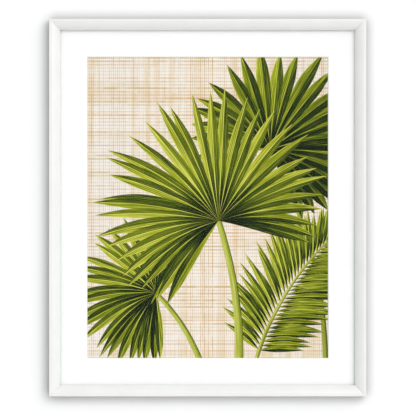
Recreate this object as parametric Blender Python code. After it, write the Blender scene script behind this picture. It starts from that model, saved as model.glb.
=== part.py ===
"""Framed and matted art print that hangs on a wall.

Metres, +Z up, with the picture facing -Y. The origin is the hanging point: the middle notch of the
hanger, on the plane of the wall. Four mitred rails hold a pack of glass, window mat, print and
backing board, and turn buttons on the rails' backs keep the pack in.
"""

import math

import bmesh
import bpy
from mathutils import Matrix, Vector

# Stock sizes of the pack
GLASS_WIDTH = 0.500
GLASS_HEIGHT = 0.600
GLASS_THICKNESS = 0.0020
WINDOW_WIDTH = 0.400
WINDOW_HEIGHT = 0.500
MAT_THICKNESS = 0.0015
PRINT_MARGIN = 0.010
PRINT_THICKNESS = 0.0003
BACKING_THICKNESS = 0.0030

# Moulding of the rails
RAIL_WIDTH = 0.018
RAIL_DEPTH = 0.021
LIP_WIDTH = 0.006
REBATE_PLAY = 0.001
BAND_WIDTH = 0.0042
QUIRK_WIDTH = 0.0007
QUIRK_DEPTH = 0.0004
STEP_DEPTH = 0.0002
GENTLE_SLOPE = math.radians(12)
STEEP_SLOPE = math.radians(58)
OUTER_ROUND = 0.0010
BACK_EASE = 0.0005

# Clearances
GAP = 0.0003
MITRE_SETBACK = GAP / math.sqrt(2)

# Place of the frame on the wall
WALL_STANDOFF = 0.003
TOP_ABOVE_HANGING_POINT = 0.009

# Nails with a V section that draw the mitres together
V_NAIL_LEG = 0.0036
V_NAIL_THICKNESS = 0.0006
V_NAIL_HEIGHT = 0.008
V_NAIL_SINK = 0.0005
V_NAIL_INSETS = {"outer": 0.0035, "inner": 0.0080}

# Turn buttons and their screws
BUTTON_PIVOT_INSET = 0.006
BUTTON_PIVOT_RADIUS = 0.0042
BUTTON_TIP_RADIUS = 0.0030
BUTTON_REACH = 0.014
BUTTON_THICKNESS = 0.0010
BUTTON_OFFSET_SHORT_RAIL = 0.150
BUTTON_OFFSET_LONG_RAIL = 0.180
SCREW_HEAD_RADIUS = 0.0030
SCREW_HEAD_HEIGHT = 0.0011
SCREW_SHANK_RADIUS = 0.0016
SCREW_LENGTH = 0.012
RECESS_WIDTH = 0.0007
RECESS_SPAN = 0.0034
RECESS_DEPTH = 0.0006

# Sawtooth hanger and its nails
HANGER_LENGTH = 0.045
HANGER_THICKNESS = 0.0010
HANGER_TOP = 0.0070
HANGER_RAISE = 0.0014
HANGER_RAISED_HALF = 0.0140
HANGER_FLAT_FROM = 0.0170
HANGER_CORNER = 0.0010
TOOTH_PITCH = 0.0030
TOOTH_DEPTH = 0.0015
TOOTH_ROOTS_EACH_SIDE = 4
NAIL_OFFSET = 0.0195
NAIL_SHANK_RADIUS = 0.0007
NAIL_HEAD_RADIUS = 0.0018
NAIL_HEAD_HEIGHT = 0.0008
NAIL_LENGTH = 0.010

# Wall bumpers
BUMPER_RADIUS = 0.005
BUMPER_EDGE_ROUND = 0.0008
BUMPER_OFFSET = 0.235

# Tapes that hang the print from the back of the mat
TAPE_WIDTH = 0.025
TAPE_OFFSET = 0.120
TAPE_THICKNESS = 0.0002
TAPE_ON_PRINT = 0.012
TAPE_ON_MAT = 0.015

# Smoothness of the round pieces
ROUND_SEGMENTS = 24
HOLE_SEGMENTS = 16
EDGE_SEGMENTS = 4
FACE_SEGMENTS = 14
SHARP_ANGLE = math.radians(32)

# Worked out from the dimensions above
SIGHT_WIDTH = GLASS_WIDTH + 2 * REBATE_PLAY - 2 * LIP_WIDTH
SIGHT_HEIGHT = GLASS_HEIGHT + 2 * REBATE_PLAY - 2 * LIP_WIDTH
FRAME_WIDTH = SIGHT_WIDTH + 2 * RAIL_WIDTH
FRAME_HEIGHT = SIGHT_HEIGHT + 2 * RAIL_WIDTH
FRAME_CENTRE = Vector((0.0, 0.0, TOP_ABOVE_HANGING_POINT - FRAME_HEIGHT / 2))
RAIL_BACK_Y = -WALL_STANDOFF
PLATE_BACK_Y = RAIL_BACK_Y + GAP
PLATE_FRONT_Y = PLATE_BACK_Y + BUTTON_THICKNESS
FASTENER_SEAT_Y = PLATE_FRONT_Y + GAP

# Depths of the pack, counted forward from the backs of the rails
TAPE_BACK = BACKING_THICKNESS + GAP
PRINT_BACK = TAPE_BACK + TAPE_THICKNESS + GAP
MAT_BACK = PRINT_BACK + PRINT_THICKNESS + GAP
GLASS_BACK = MAT_BACK + MAT_THICKNESS + GAP
REBATE_DEPTH = GLASS_BACK + GLASS_THICKNESS + GAP

# Each side: its length, its turn about Y from the top rail, the names of its two ends in the
# order of its own X axis, and the corner at its first end
SIDES = {
    "top": (FRAME_WIDTH, 0.0, ("left", "right"), "top_left"),
    "right": (FRAME_HEIGHT, math.pi / 2, ("upper", "lower"), "top_right"),
    "bottom": (FRAME_WIDTH, math.pi, ("right", "left"), "bottom_right"),
    "left": (FRAME_HEIGHT, -math.pi / 2, ("lower", "upper"), "bottom_left"),
}


def principled(name, colour, roughness, metallic=0.0):
    """A plain material with one colour."""
    made = bpy.data.materials.new(name)
    made.use_nodes = True
    shader = made.node_tree.nodes["Principled BSDF"]
    shader.inputs["Base Color"].default_value = (*colour, 1.0)
    shader.inputs["Roughness"].default_value = roughness
    shader.inputs["Metallic"].default_value = metallic
    return made


def object_from(bm, name, material, smooth=False):
    """Close the bmesh into an object with its faces pointing out."""
    bmesh.ops.recalc_face_normals(bm, faces=bm.faces)
    mesh = bpy.data.meshes.new(name)
    bm.to_mesh(mesh)
    bm.free()
    if smooth:
        mesh.shade_smooth()
        mesh.set_sharp_from_angle(angle=SHARP_ANGLE)
    made = bpy.data.objects.new(name, mesh)
    bpy.context.collection.objects.link(made)
    if material:
        mesh.materials.append(material)
    return made


def loft(rings):
    """A bmesh of rings joined in order, with the first and the last filled."""
    bm = bmesh.new()
    loops = [[bm.verts.new(point) for point in ring] for ring in rings]
    bm.faces.new(loops[0])
    bm.faces.new(reversed(loops[-1]))
    for near, far in zip(loops, loops[1:]):
        for i in range(len(near)):
            j = (i + 1) % len(near)
            bm.faces.new((near[i], near[j], far[j], far[i]))
    return bm


def slab(width, height, back, thickness):
    """A flat board about the frame's centre, its back face that far forward of the rails' backs."""
    corners = [(-1, -1), (1, -1), (1, 1), (-1, 1)]
    rings = []
    for depth in (back, back + thickness):
        rings.append([(x * width / 2, RAIL_BACK_Y - depth, z * height / 2) for x, z in corners])
    return loft(rings)


def extruded(outline, y_from, y_to):
    """An outline of (x, z) points drawn out along Y."""
    return loft([[(x, y, z) for x, z in outline] for y in (y_from, y_to)])


def turned(profile, segments=ROUND_SEGMENTS):
    """A solid turned about Y from (radius, y) points, flat at its first end and its last."""
    rings = []
    for radius, y in profile:
        ring = []
        for i in range(segments):
            angle = math.tau * i / segments
            ring.append((radius * math.cos(angle), y, radius * math.sin(angle)))
        rings.append(ring)
    return loft(rings)


def arc(centre, radius, start, end, segments):
    """Points on a circle from one angle to another."""
    points = []
    for i in range(segments + 1):
        angle = start + (end - start) * i / segments
        points.append((centre[0] + radius * math.cos(angle), centre[1] + radius * math.sin(angle)))
    return points


def put(item, side, along=0.0, inset=0.0):
    """Place an item on the outer edge of a side, at a distance along it and an inset from it."""
    length, turn, _, _ = SIDES[side]
    outward = FRAME_HEIGHT / 2 if length == FRAME_WIDTH else FRAME_WIDTH / 2
    rotation = Matrix.Rotation(turn, 4, "Y")
    item.location = FRAME_CENTRE + rotation @ Vector((along, 0.0, outward - inset))
    item.rotation_euler = rotation.to_euler()


def cut(item, cutter):
    """Take the cutter's shape out of the item, and hide the cutter."""
    cutter.hide_render = True
    cutter.display_type = "WIRE"
    difference = item.modifiers.new(cutter.name, "BOOLEAN")
    difference.operation = "DIFFERENCE"
    difference.solver = "EXACT"
    difference.object = cutter


def drill(item, name, radius, y_from, y_to, place):
    """Drill a round hole along Y; place puts the drill where the hole goes."""
    bit = object_from(turned([(radius, y_from), (radius, y_to)], HOLE_SEGMENTS), name, None)
    place(bit)
    cut(item, bit)


def rail_section():
    """The moulding's section as points (inward from the outer edge, forward from the back).

    Its face is round, and falls from the gentle slope at the quirk to the steep one at the sight edge.
    """
    face_start = BAND_WIDTH + QUIRK_WIDTH
    face_top = RAIL_DEPTH - STEP_DEPTH
    outer_centre = (OUTER_ROUND, RAIL_DEPTH - OUTER_ROUND)
    radius = (RAIL_WIDTH - face_start) / (math.sin(STEEP_SLOPE) - math.sin(GENTLE_SLOPE))
    face_centre = (
        face_start - radius * math.sin(GENTLE_SLOPE),
        face_top - radius * math.cos(GENTLE_SLOPE),
    )
    rebate_wall = RAIL_WIDTH - LIP_WIDTH
    return [
        (BACK_EASE, 0.0),
        (0.0, BACK_EASE),
        *arc(outer_centre, OUTER_ROUND, math.pi, math.pi / 2, EDGE_SEGMENTS),
        (BAND_WIDTH, RAIL_DEPTH),
        (BAND_WIDTH + QUIRK_WIDTH / 2, RAIL_DEPTH - QUIRK_DEPTH),
        *arc(face_centre, radius, math.pi / 2 - GENTLE_SLOPE, math.pi / 2 - STEEP_SLOPE, FACE_SEGMENTS),
        (RAIL_WIDTH, REBATE_DEPTH),
        (rebate_wall, REBATE_DEPTH),
        (rebate_wall, 0.0),
    ]


def make_rail(side, material):
    """A rail drawn from its section, mitred at both ends."""
    length = SIDES[side][0]
    rings = []
    for end in (-1, 1):
        ring = []
        for inward, forward in rail_section():
            x = end * (length / 2 - inward - MITRE_SETBACK)
            ring.append((x, RAIL_BACK_Y - forward, -inward))
        rings.append(ring)
    made = object_from(loft(rings), f"rail_{side}", material, smooth=True)
    put(made, side)
    return made


def chevron(thickness, leg):
    """Outline of a V nail's section, one leg along X and one down Z from its vertex."""
    half = thickness / 2
    return [(-half, half), (leg, half), (leg, -half), (half, -half), (half, -leg), (-half, -leg)]


def make_v_nails(rails, material):
    """Two V nails in each corner, across the mitre, each in a slot of its shape in both rails."""
    order = list(SIDES)
    for index, side in enumerate(order):
        length, _, _, corner = SIDES[side]
        neighbour = order[index - 1]
        for which, inset in V_NAIL_INSETS.items():
            name = f"v_nail_{corner}_{which}"
            back = RAIL_BACK_Y - V_NAIL_SINK
            nail_outline = chevron(V_NAIL_THICKNESS, V_NAIL_LEG)
            slot_outline = chevron(V_NAIL_THICKNESS + 2 * GAP, V_NAIL_LEG + GAP)
            nail = object_from(extruded(nail_outline, back, back - V_NAIL_HEIGHT), name, material)
            slot_floor = back - V_NAIL_HEIGHT - GAP
            slot = object_from(extruded(slot_outline, 0.0, slot_floor), f"slot_{name}", None)
            for item in (nail, slot):
                put(item, side, inset - length / 2, inset)
            cut(rails[side], slot)
            cut(rails[neighbour], slot)


def make_mat(material):
    """The window mat: a board with a window whose edge is cut at 45 degrees."""
    bm = bmesh.new()
    corners = [(-1, -1), (1, -1), (1, 1), (-1, 1)]
    front = MAT_BACK + MAT_THICKNESS
    loops = []
    for width, height, depth in (
        (GLASS_WIDTH, GLASS_HEIGHT, MAT_BACK),
        (GLASS_WIDTH, GLASS_HEIGHT, front),
        (WINDOW_WIDTH + 2 * MAT_THICKNESS, WINDOW_HEIGHT + 2 * MAT_THICKNESS, front),
        (WINDOW_WIDTH, WINDOW_HEIGHT, MAT_BACK),
    ):
        y = RAIL_BACK_Y - depth
        loops.append([bm.verts.new((x * width / 2, y, z * height / 2)) for x, z in corners])
    for near, far in zip(loops, loops[1:] + loops[:1]):
        for i in range(4):
            j = (i + 1) % 4
            bm.faces.new((near[i], near[j], far[j], far[i]))
    made = object_from(bm, "mat_board", material)
    made.location = FRAME_CENTRE
    return made


def make_tapes(material):
    """Two strips that go from the print's back over its top edge to the mat's back."""
    print_top = WINDOW_HEIGHT / 2 + PRINT_MARGIN
    step_low = print_top + GAP
    step_high = step_low + TAPE_THICKNESS
    upper_front = MAT_BACK - GAP
    upper_back = upper_front - TAPE_THICKNESS
    lower_front = TAPE_BACK + TAPE_THICKNESS
    outline = [
        (print_top - TAPE_ON_PRINT, TAPE_BACK),
        (step_high, TAPE_BACK),
        (step_high, upper_back),
        (print_top + TAPE_ON_MAT, upper_back),
        (print_top + TAPE_ON_MAT, upper_front),
        (step_low, upper_front),
        (step_low, lower_front),
        (print_top - TAPE_ON_PRINT, lower_front),
    ]
    for name, sign in (("left", -1), ("right", 1)):
        rings = []
        for x in (-TAPE_WIDTH / 2, TAPE_WIDTH / 2):
            rings.append([(x, RAIL_BACK_Y - depth, z) for z, depth in outline])
        made = object_from(loft(rings), f"hinge_tape_{name}", material)
        made.location = FRAME_CENTRE + Vector((sign * TAPE_OFFSET, 0.0, 0.0))


def make_pack(glass, mat, paper, tape, hardboard):
    """Everything that lies in the rebate, from the glass to the backing board."""
    print_width = WINDOW_WIDTH + 2 * PRINT_MARGIN
    print_height = WINDOW_HEIGHT + 2 * PRINT_MARGIN
    for name, width, height, back, thickness, material in (
        ("glazing", GLASS_WIDTH, GLASS_HEIGHT, GLASS_BACK, GLASS_THICKNESS, glass),
        ("art_print", print_width, print_height, PRINT_BACK, PRINT_THICKNESS, paper),
        ("backing_board", GLASS_WIDTH, GLASS_HEIGHT, 0.0, BACKING_THICKNESS, hardboard),
    ):
        made = object_from(slab(width, height, back, thickness), name, material)
        made.location = FRAME_CENTRE
    make_mat(mat)
    make_tapes(tape)


def button_outline():
    """A round end about the pivot and a smaller round tip, joined by straight edges."""
    lean = math.asin((BUTTON_PIVOT_RADIUS - BUTTON_TIP_RADIUS) / BUTTON_REACH)
    half = ROUND_SEGMENTS // 2
    pivot_end = arc((0.0, 0.0), BUTTON_PIVOT_RADIUS, -lean, math.pi + lean, half)
    tip = arc((0.0, -BUTTON_REACH), BUTTON_TIP_RADIUS, math.pi + lean, math.tau - lean, half)
    return pivot_end + tip


def screw_profile(shank_radius, head_radius, head_height, length):
    """Section of a screw or nail with a domed head, from the crown of the head to the point."""
    seat = FASTENER_SEAT_Y
    tip_length = 2 * shank_radius
    crown_radius = head_radius / 2
    crown = seat + head_height
    return [
        (crown_radius, crown),
        (head_radius * 0.85, seat + head_height * 0.75),
        (head_radius, seat + head_height * 0.3),
        (head_radius, seat),
        (shank_radius, seat),
        (shank_radius, seat - length + tip_length),
        (shank_radius / 8, seat - length),
    ]


def make_buttons(rails, plate, steel):
    """Two turn buttons on each rail, each on a screw, closed over the backing board."""
    for side, (length, _, ends, _) in SIDES.items():
        offset = BUTTON_OFFSET_SHORT_RAIL if length == FRAME_WIDTH else BUTTON_OFFSET_LONG_RAIL
        for end, along in zip(ends, (-offset, offset)):

            def place(item):
                put(item, side, along, BUTTON_PIVOT_INSET)

            name = f"turn_button_{side}_{end}"
            button = object_from(
                extruded(button_outline(), PLATE_BACK_Y, PLATE_FRONT_Y), name, plate, smooth=True
            )
            place(button)
            eye = SCREW_SHANK_RADIUS + GAP
            drill(button, f"eye_{name}", eye, RAIL_BACK_Y, FASTENER_SEAT_Y, place)

            profile = screw_profile(
                SCREW_SHANK_RADIUS, SCREW_HEAD_RADIUS, SCREW_HEAD_HEIGHT, SCREW_LENGTH
            )
            screw = object_from(turned(profile), f"screw_{side}_{end}", steel, smooth=True)
            place(screw)
            crown = FASTENER_SEAT_Y + SCREW_HEAD_HEIGHT
            for bar, (wide, tall) in {
                "across": (RECESS_SPAN, RECESS_WIDTH),
                "upright": (RECESS_WIDTH, RECESS_SPAN),
            }.items():
                outline = [(x * wide / 2, z * tall / 2) for x, z in ((-1, -1), (1, -1), (1, 1), (-1, 1))]
                blade = object_from(
                    extruded(outline, crown - RECESS_DEPTH, crown + GAP), f"recess_{bar}_{name}", None
                )
                place(blade)
                cut(screw, blade)

            hole_floor = FASTENER_SEAT_Y - SCREW_LENGTH - GAP
            drill(rails[side], f"pilot_{name}", eye, 0.0, hole_floor, place)


def hanger_columns():
    """Across the hanger: (x, lowest z, highest z, share of the raise) for each column of points."""
    half = HANGER_LENGTH / 2
    toothed = (TOOTH_ROOTS_EACH_SIDE + 0.5) * TOOTH_PITCH
    bend_middle = (HANGER_RAISED_HALF + HANGER_FLAT_FROM) / 2
    right = [(0.0, 0.0, HANGER_TOP, 1.0)]
    for tooth in range(TOOTH_ROOTS_EACH_SIDE + 1):
        tip = (tooth + 0.5) * TOOTH_PITCH
        right.append((tip, -TOOTH_DEPTH, HANGER_TOP, 1.0))
        if tip < toothed:
            right.append((tip + TOOTH_PITCH / 2, 0.0, HANGER_TOP, 1.0))
    right.append((HANGER_RAISED_HALF, -TOOTH_DEPTH, HANGER_TOP, 1.0))
    right.append((bend_middle, -TOOTH_DEPTH, HANGER_TOP, 0.5))
    right.append((HANGER_FLAT_FROM, -TOOTH_DEPTH, HANGER_TOP, 0.0))
    right.append((half - HANGER_CORNER, -TOOTH_DEPTH, HANGER_TOP, 0.0))
    right.append((half, HANGER_CORNER - TOOTH_DEPTH, HANGER_TOP - HANGER_CORNER, 0.0))
    left = [(-x, low, high, raised) for x, low, high, raised in right[:0:-1]]
    return left + right


def make_hanger(rail, steel, nail_steel):
    """The sawtooth hanger, its middle bowed off the rail, and the two nails through its ends."""
    rings = []
    for x, low, high, raised in hanger_columns():
        back = PLATE_BACK_Y + raised * HANGER_RAISE
        front = back + HANGER_THICKNESS
        rings.append([(x, back, low), (x, front, low), (x, front, high), (x, back, high)])
    hanger = object_from(loft(rings), "hanger", steel)
    nail_height = (HANGER_TOP - TOOTH_DEPTH) / 2
    for name, sign in (("left", -1), ("right", 1)):

        def place(item):
            item.location = (sign * NAIL_OFFSET, 0.0, nail_height)

        hole = NAIL_SHANK_RADIUS + GAP
        drill(hanger, f"hole_{name}", hole, RAIL_BACK_Y, FASTENER_SEAT_Y, place)
        profile = screw_profile(NAIL_SHANK_RADIUS, NAIL_HEAD_RADIUS, NAIL_HEAD_HEIGHT, NAIL_LENGTH)
        nail = object_from(turned(profile), f"hanger_nail_{name}", nail_steel, smooth=True)
        place(nail)
        drill(rail, f"pilot_{name}", hole, 0.0, FASTENER_SEAT_Y - NAIL_LENGTH - GAP, place)


def make_bumpers(rubber):
    """Two round pads on the bottom rail's back, which rest on the wall."""
    edge_centre = (BUMPER_RADIUS - BUMPER_EDGE_ROUND, -BUMPER_EDGE_ROUND)
    profile = [(BUMPER_RADIUS, PLATE_BACK_Y)]
    profile += arc(edge_centre, BUMPER_EDGE_ROUND, 0.0, math.pi / 2, EDGE_SEGMENTS)
    for name, along in (("right", -BUMPER_OFFSET), ("left", BUMPER_OFFSET)):
        made = object_from(turned(profile), f"bumper_{name}", rubber, smooth=True)
        put(made, "bottom", along, BUTTON_PIVOT_INSET)


def build():
    """Make the whole picture in its frame."""
    for old in list(bpy.data.objects):
        bpy.data.objects.remove(old, do_unlink=True)
    white_wood = principled("white_wood", (0.88, 0.88, 0.87), 0.35)
    clear_glass = principled("clear_glass", (0.93, 0.97, 0.95), 0.03)
    white_mat = principled("white_mat", (0.94, 0.94, 0.93), 0.9)
    print_paper = principled("print_paper", (0.84, 0.82, 0.73), 0.8)
    linen_tape = principled("linen_tape", (0.86, 0.84, 0.78), 0.9)
    hardboard = principled("hardboard", (0.30, 0.19, 0.11), 0.75)
    plated_steel = principled("plated_steel", (0.72, 0.72, 0.70), 0.3, 1.0)
    screw_steel = principled("screw_steel", (0.66, 0.66, 0.66), 0.3, 1.0)
    brass_plate = principled("brass_plate", (0.78, 0.62, 0.34), 0.3, 1.0)
    nail_steel = principled("nail_steel", (0.55, 0.55, 0.55), 0.4, 1.0)
    clear_rubber = principled("bumper_rubber", (0.80, 0.80, 0.78), 0.5)

    rails = {side: make_rail(side, white_wood) for side in SIDES}
    make_v_nails(rails, nail_steel)
    make_pack(clear_glass, white_mat, print_paper, linen_tape, hardboard)
    make_buttons(rails, plated_steel, screw_steel)
    make_hanger(rails["top"], brass_plate, nail_steel)
    make_bumpers(clear_rubber)


build()
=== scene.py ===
"""Looks of the framed art print: its painted moulding, glass, window mat, printed sheet and fittings.

Metres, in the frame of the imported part. What the part fixes is read from its nodes, and the finer
pieces here keep the form and the place of the nodes that they stand for.
"""

import math
import random

import bmesh
import bpy
import numpy as np
from mathutils import Matrix, Vector
from mathutils.geometry import delaunay_2d_cdt


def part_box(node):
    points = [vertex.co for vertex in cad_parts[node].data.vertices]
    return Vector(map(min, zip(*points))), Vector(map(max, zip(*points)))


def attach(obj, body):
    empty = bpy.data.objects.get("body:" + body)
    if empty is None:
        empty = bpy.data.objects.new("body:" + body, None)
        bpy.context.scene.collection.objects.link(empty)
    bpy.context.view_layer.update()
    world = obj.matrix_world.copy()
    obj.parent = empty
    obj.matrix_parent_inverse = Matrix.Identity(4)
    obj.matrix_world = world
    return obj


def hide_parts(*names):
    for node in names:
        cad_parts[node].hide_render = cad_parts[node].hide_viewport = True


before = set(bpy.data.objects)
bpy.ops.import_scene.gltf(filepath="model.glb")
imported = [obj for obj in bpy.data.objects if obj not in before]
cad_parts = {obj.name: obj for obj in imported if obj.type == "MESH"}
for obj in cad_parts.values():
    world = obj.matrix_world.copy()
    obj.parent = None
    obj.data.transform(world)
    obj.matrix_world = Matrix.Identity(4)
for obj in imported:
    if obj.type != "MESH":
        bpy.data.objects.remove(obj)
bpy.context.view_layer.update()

MM = 0.001

# Moulding of the rails, as in the part
BAND_WIDTH = 4.2 * MM
QUIRK_WIDTH = 0.7 * MM
QUIRK_DEPTH = 0.4 * MM
QUIRK_END = math.radians(300)
STEP_DEPTH = 0.2 * MM
FACE_SLOPES = (math.radians(12), math.radians(58))
OUTER_ROUND = 1.0 * MM
BACK_EASE = 0.5 * MM
SIGHT_EASE = 0.6 * MM
MITRE_EASE = 0.35 * MM
MITRE_GAP = 0.02 * MM
REBATE_PLAY = 1.0 * MM
GAP = 0.3 * MM
SHARP_ANGLE = math.radians(32)
GRAIN_SHIFT = 13.7
EASE_STEPS = 3
LEAST_ROUND = 0.05
CORNERS = ((-1, -1), (1, -1), (1, 1), (-1, 1))

# Nails with a V section in the corners
V_NAIL_LEG = 3.6 * MM
V_NAIL_THICKNESS = 0.6 * MM
V_NAIL_INSETS = (3.5 * MM, 8.0 * MM)

# Domed heads of screws and nails as shares of a head's height, and their tips as shares of the shank
DOME_FROM = 0.25
DOME_END = math.radians(15)
RIM_FROM, RIM_TO = 0.06, 0.30
TIP_SHARES = (0.9, 0.125)

# Turn buttons and their screws
BUTTON_PIVOT_RADIUS = 4.2 * MM
BUTTON_TIP_RADIUS = 3.0 * MM
BUTTON_REACH = 14.0 * MM
BUTTON_EDGE = 0.22 * MM
SCREW_SHANK_RADIUS = 1.6 * MM
SCREW_THREAD_DEPTH = 0.35 * MM
SCREW_THREAD_PITCH = 0.9 * MM
SCREW_THREAD_ROOT = SCREW_THREAD_PITCH * 0.4
SCREW_THREAD_CREST = SCREW_THREAD_PITCH * 0.7
RECESS_WIDTH = 0.7 * MM
RECESS_SPAN = 3.4 * MM
RECESS_DEPTH = 0.7 * MM
RECESS_FLARE = 1.1
RECESS_TAPER = 0.62

# Sawtooth hanger and its nails
HANGER_THICKNESS = 1.0 * MM
HANGER_EDGE = 0.15 * MM
HANGER_RAISE = 1.4 * MM
HANGER_RAISED_HALF = 14.0 * MM
HANGER_FLAT_FROM = 17.0 * MM
HANGER_CORNER = 1.0 * MM
TOOTH_PITCH = 3.0 * MM
TOOTH_DEPTH = 1.5 * MM
TOOTH_TIP_HALF = 0.2 * MM
TOOTH_TIP_EASE = 0.15 * MM
TOOTH_COUNT_EACH_SIDE = 5
NAIL_SHANK_RADIUS = 0.7 * MM
HANGER_NAILS = ("hanger_nail_left", "hanger_nail_right")

# Mat, glass, backing board, tapes and bumpers
PRINT_MARGIN = 10.0 * MM
CUT_EDGE_ROUND = 0.12 * MM
BEVEL_FOOT, BEVEL_LIP = 0.3, 0.4
GLASS_ARRIS = 0.3 * MM
# Painted glow on the glass: how far its green tint reaches in from the side sight edges, and how far short of
# the top and bottom it stops
PAINTED_GLOW_WIDTH = 6.5 * MM
PAINTED_GLOW_FULL = 1.0 * MM
PAINTED_GLOW_END = 36.0 * MM
PAINTED_GLOW_FADE = 4.0 * MM
BOARD_ARRIS = 0.35 * MM
LINEN_PITCH = 0.45 * MM
BUMPER_EDGE_ROUND = 0.8 * MM
BUMPER_FOOT_EASE = 0.1 * MM

# The picture on the sheet, in millimetres about the middle of the window
PRINT_SEED = 7
MESH_STEP = 5.0
CELL_PLAY = (0.3, 0.7)
STRIP_STEPS = 26
TINY = 1e-3
GROUND, LEAF, STEM = 0.0, 1.0, 2.0
FROND_HALF_WIDTH = 5.8
FROND_WIDEST = 0.42
LEAST_BEND = 0.02
LEAST_WIDTH = 0.25
DROOP = 0.5
LIT_FROM = math.radians(118)
VEIN_PITCH = 2.6
THREAD_DRIFT = 0.3 * MM
THREAD_EDGE = 0.08
UPRIGHT_THREADS = 3.3 * MM
LEVEL_THREADS = 5.6 * MM
BACK_LAYOUT_GAP = 0.01
BACK_LAYOUT_SCALE = 0.2

# Stage and camera
STAGE_SIZE = 30.0
WALL_GAP = 0.5 * MM
FLOOR_LEVEL = -1.6
OPENING_INSET = 5.0 * MM
OPENING_LOW_INSET = 2.0 * MM
# Painted contact shade on the wall and floor: how far from the frame it reaches, and the share of white left
# where it is darkest
CONTACT_REACH = 20.0 * MM
CONTACT_SHADE = 0.25
FIELD_WIDTH = 689.6 * MM
AIM_RIGHT = 0.55 * MM
AIM_DOWN = 0.6 * MM
LENS = 250.0
SENSOR_WIDTH = 36.0


def srgb(red, green, blue):
    """A colour as seen, 0 to 255, as the linear colour that a shader takes."""
    shares = [value / 255 for value in (red, green, blue)]
    return (*[s / 12.92 if s <= 0.04045 else ((s + 0.055) / 1.055) ** 2.4 for s in shares], 1.0)


class Finish:
    """A material built up from short calls. A call that makes a value returns its socket."""

    def __init__(self, name, roughness=0.5, metallic=0.0):
        self.material = bpy.data.materials.new(name)
        self.material.use_nodes = True
        self.tree = self.material.node_tree
        self.shader = self.tree.nodes["Principled BSDF"]
        self.set("Roughness", roughness)
        self.set("Metallic", metallic)

    def feed(self, socket, value):
        """Link an output to the socket, or set the socket to a plain value."""
        if isinstance(value, bpy.types.NodeSocket):
            self.tree.links.new(value, socket)
        else:
            socket.default_value = value

    def set(self, name, value):
        self.feed(self.shader.inputs[name], value)

    def node(self, kind, output, inputs=None, **settings):
        """An output of a new node, which is fed with the inputs that are named or numbered."""
        made = self.tree.nodes.new(kind)
        for name, value in settings.items():
            setattr(made, name, value)
        for key, value in (inputs or {}).items():
            self.feed(made.inputs[key], value)
        return made.outputs[output]

    def coordinates(self, scale=(1.0, 1.0, 1.0), shift=0.0):
        """The object's own coordinates in metres, scaled along each axis and then shifted."""
        source = self.node("ShaderNodeTexCoord", "Object")
        values = {"Vector": source, "Scale": scale, "Location": (shift, shift, shift)}
        return self.node("ShaderNodeMapping", "Vector", values)

    def attribute(self, name):
        return self.node("ShaderNodeAttribute", "Vector", attribute_name=name)

    def split(self, vector):
        """The X, Y and Z of a vector."""
        return self.node("ShaderNodeSeparateXYZ", "X", {"Vector": vector}).node.outputs.values()

    def join(self, x, y, z=0.0):
        return self.node("ShaderNodeCombineXYZ", "Vector", {"X": x, "Y": y, "Z": z})

    def noise(self, vector, scale=1.0, detail=2.0, roughness=0.5, distortion=0.0):
        values = {"Vector": vector, "Scale": scale, "Detail": detail, "Roughness": roughness}
        return self.node("ShaderNodeTexNoise", "Fac", {**values, "Distortion": distortion})

    def random_of(self, value):
        """One random number for each whole number."""
        return self.node("ShaderNodeTexWhiteNoise", "Value", {"W": value}, noise_dimensions="1D")

    def math(self, operation, first, second=0.0, third=0.0):
        values = {0: first, 1: second, 2: third}
        return self.node("ShaderNodeMath", "Value", values, operation=operation)

    def times(self, first, second, plus=None):
        """The product of two values, and the last one added to it if it is given."""
        if plus is None:
            return self.math("MULTIPLY", first, second)
        return self.math("MULTIPLY_ADD", first, second, plus)

    def span(self, value, low, high, to_low=0.0, to_high=1.0):
        """The value's place between low and high, smooth at both ends."""
        values = {"Value": value, "From Min": low, "From Max": high, "To Min": to_low, "To Max": to_high}
        return self.node("ShaderNodeMapRange", "Result", values, interpolation_type="SMOOTHSTEP")

    def mix(self, factor, first, second):
        """A colour from the first to the second by the factor."""
        return self.node("ShaderNodeMix", 2, {0: factor, 6: first, 7: second}, data_type="RGBA")

    def tones(self, factor, *stops):
        """A colour for each value of the factor, from (place, red, green, blue) stops as seen."""
        colour = self.node("ShaderNodeValToRGB", "Color", {"Fac": factor})
        elements = colour.node.color_ramp.elements
        elements.remove(elements[1])
        for index, (place, *seen) in enumerate(stops):
            stop = elements.new(place) if index else elements[0]
            stop.position = place
            stop.color = srgb(*seen)
        return colour

    def paint(self, factor, *stops):
        self.set("Base Color", self.tones(factor, *stops))

    def roughen(self, value, low, high, to_low, to_high):
        self.set("Roughness", self.span(value, low, high, to_low, to_high))

    def bump(self, height, distance):
        """Raise the surface by the height times the distance, in metres."""
        values = {"Strength": 1.0, "Distance": distance, "Height": height}
        self.set("Normal", self.node("ShaderNodeBump", "Normal", values))

    def show_mix(self, factor, first, second):
        """Make the surface a mix of two shaders."""
        mixed = self.node("ShaderNodeMixShader", "Shader", {0: factor, 1: first, 2: second})
        self.feed(self.tree.nodes["Material Output"].inputs["Surface"], mixed)


def painted_wood(side, shift):
    """Satin white paint: orange peel, the ghost of the grain along the rail and a little dust."""
    made = Finish(f"painted_wood_{side}", roughness=0.34)
    grain = made.noise(made.coordinates((12.0, 300.0, 300.0), shift), 4.0, 3.0, 0.6)
    peel = made.noise(made.coordinates(), 900.0, 2.0, 0.45)
    cloud = made.noise(made.coordinates(shift=shift), 22.0, 3.0, 0.6)
    made.paint(cloud, (0.30, 229, 229, 228), (0.70, 234, 234, 232))
    made.roughen(peel, 0.2, 0.8, 0.28, 0.42)
    made.bump(made.times(grain, 0.5, plus=peel), 0.030 * MM)
    made.set("Coat Weight", 0.15)
    made.set("Coat Roughness", 0.22)
    return made.material


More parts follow.
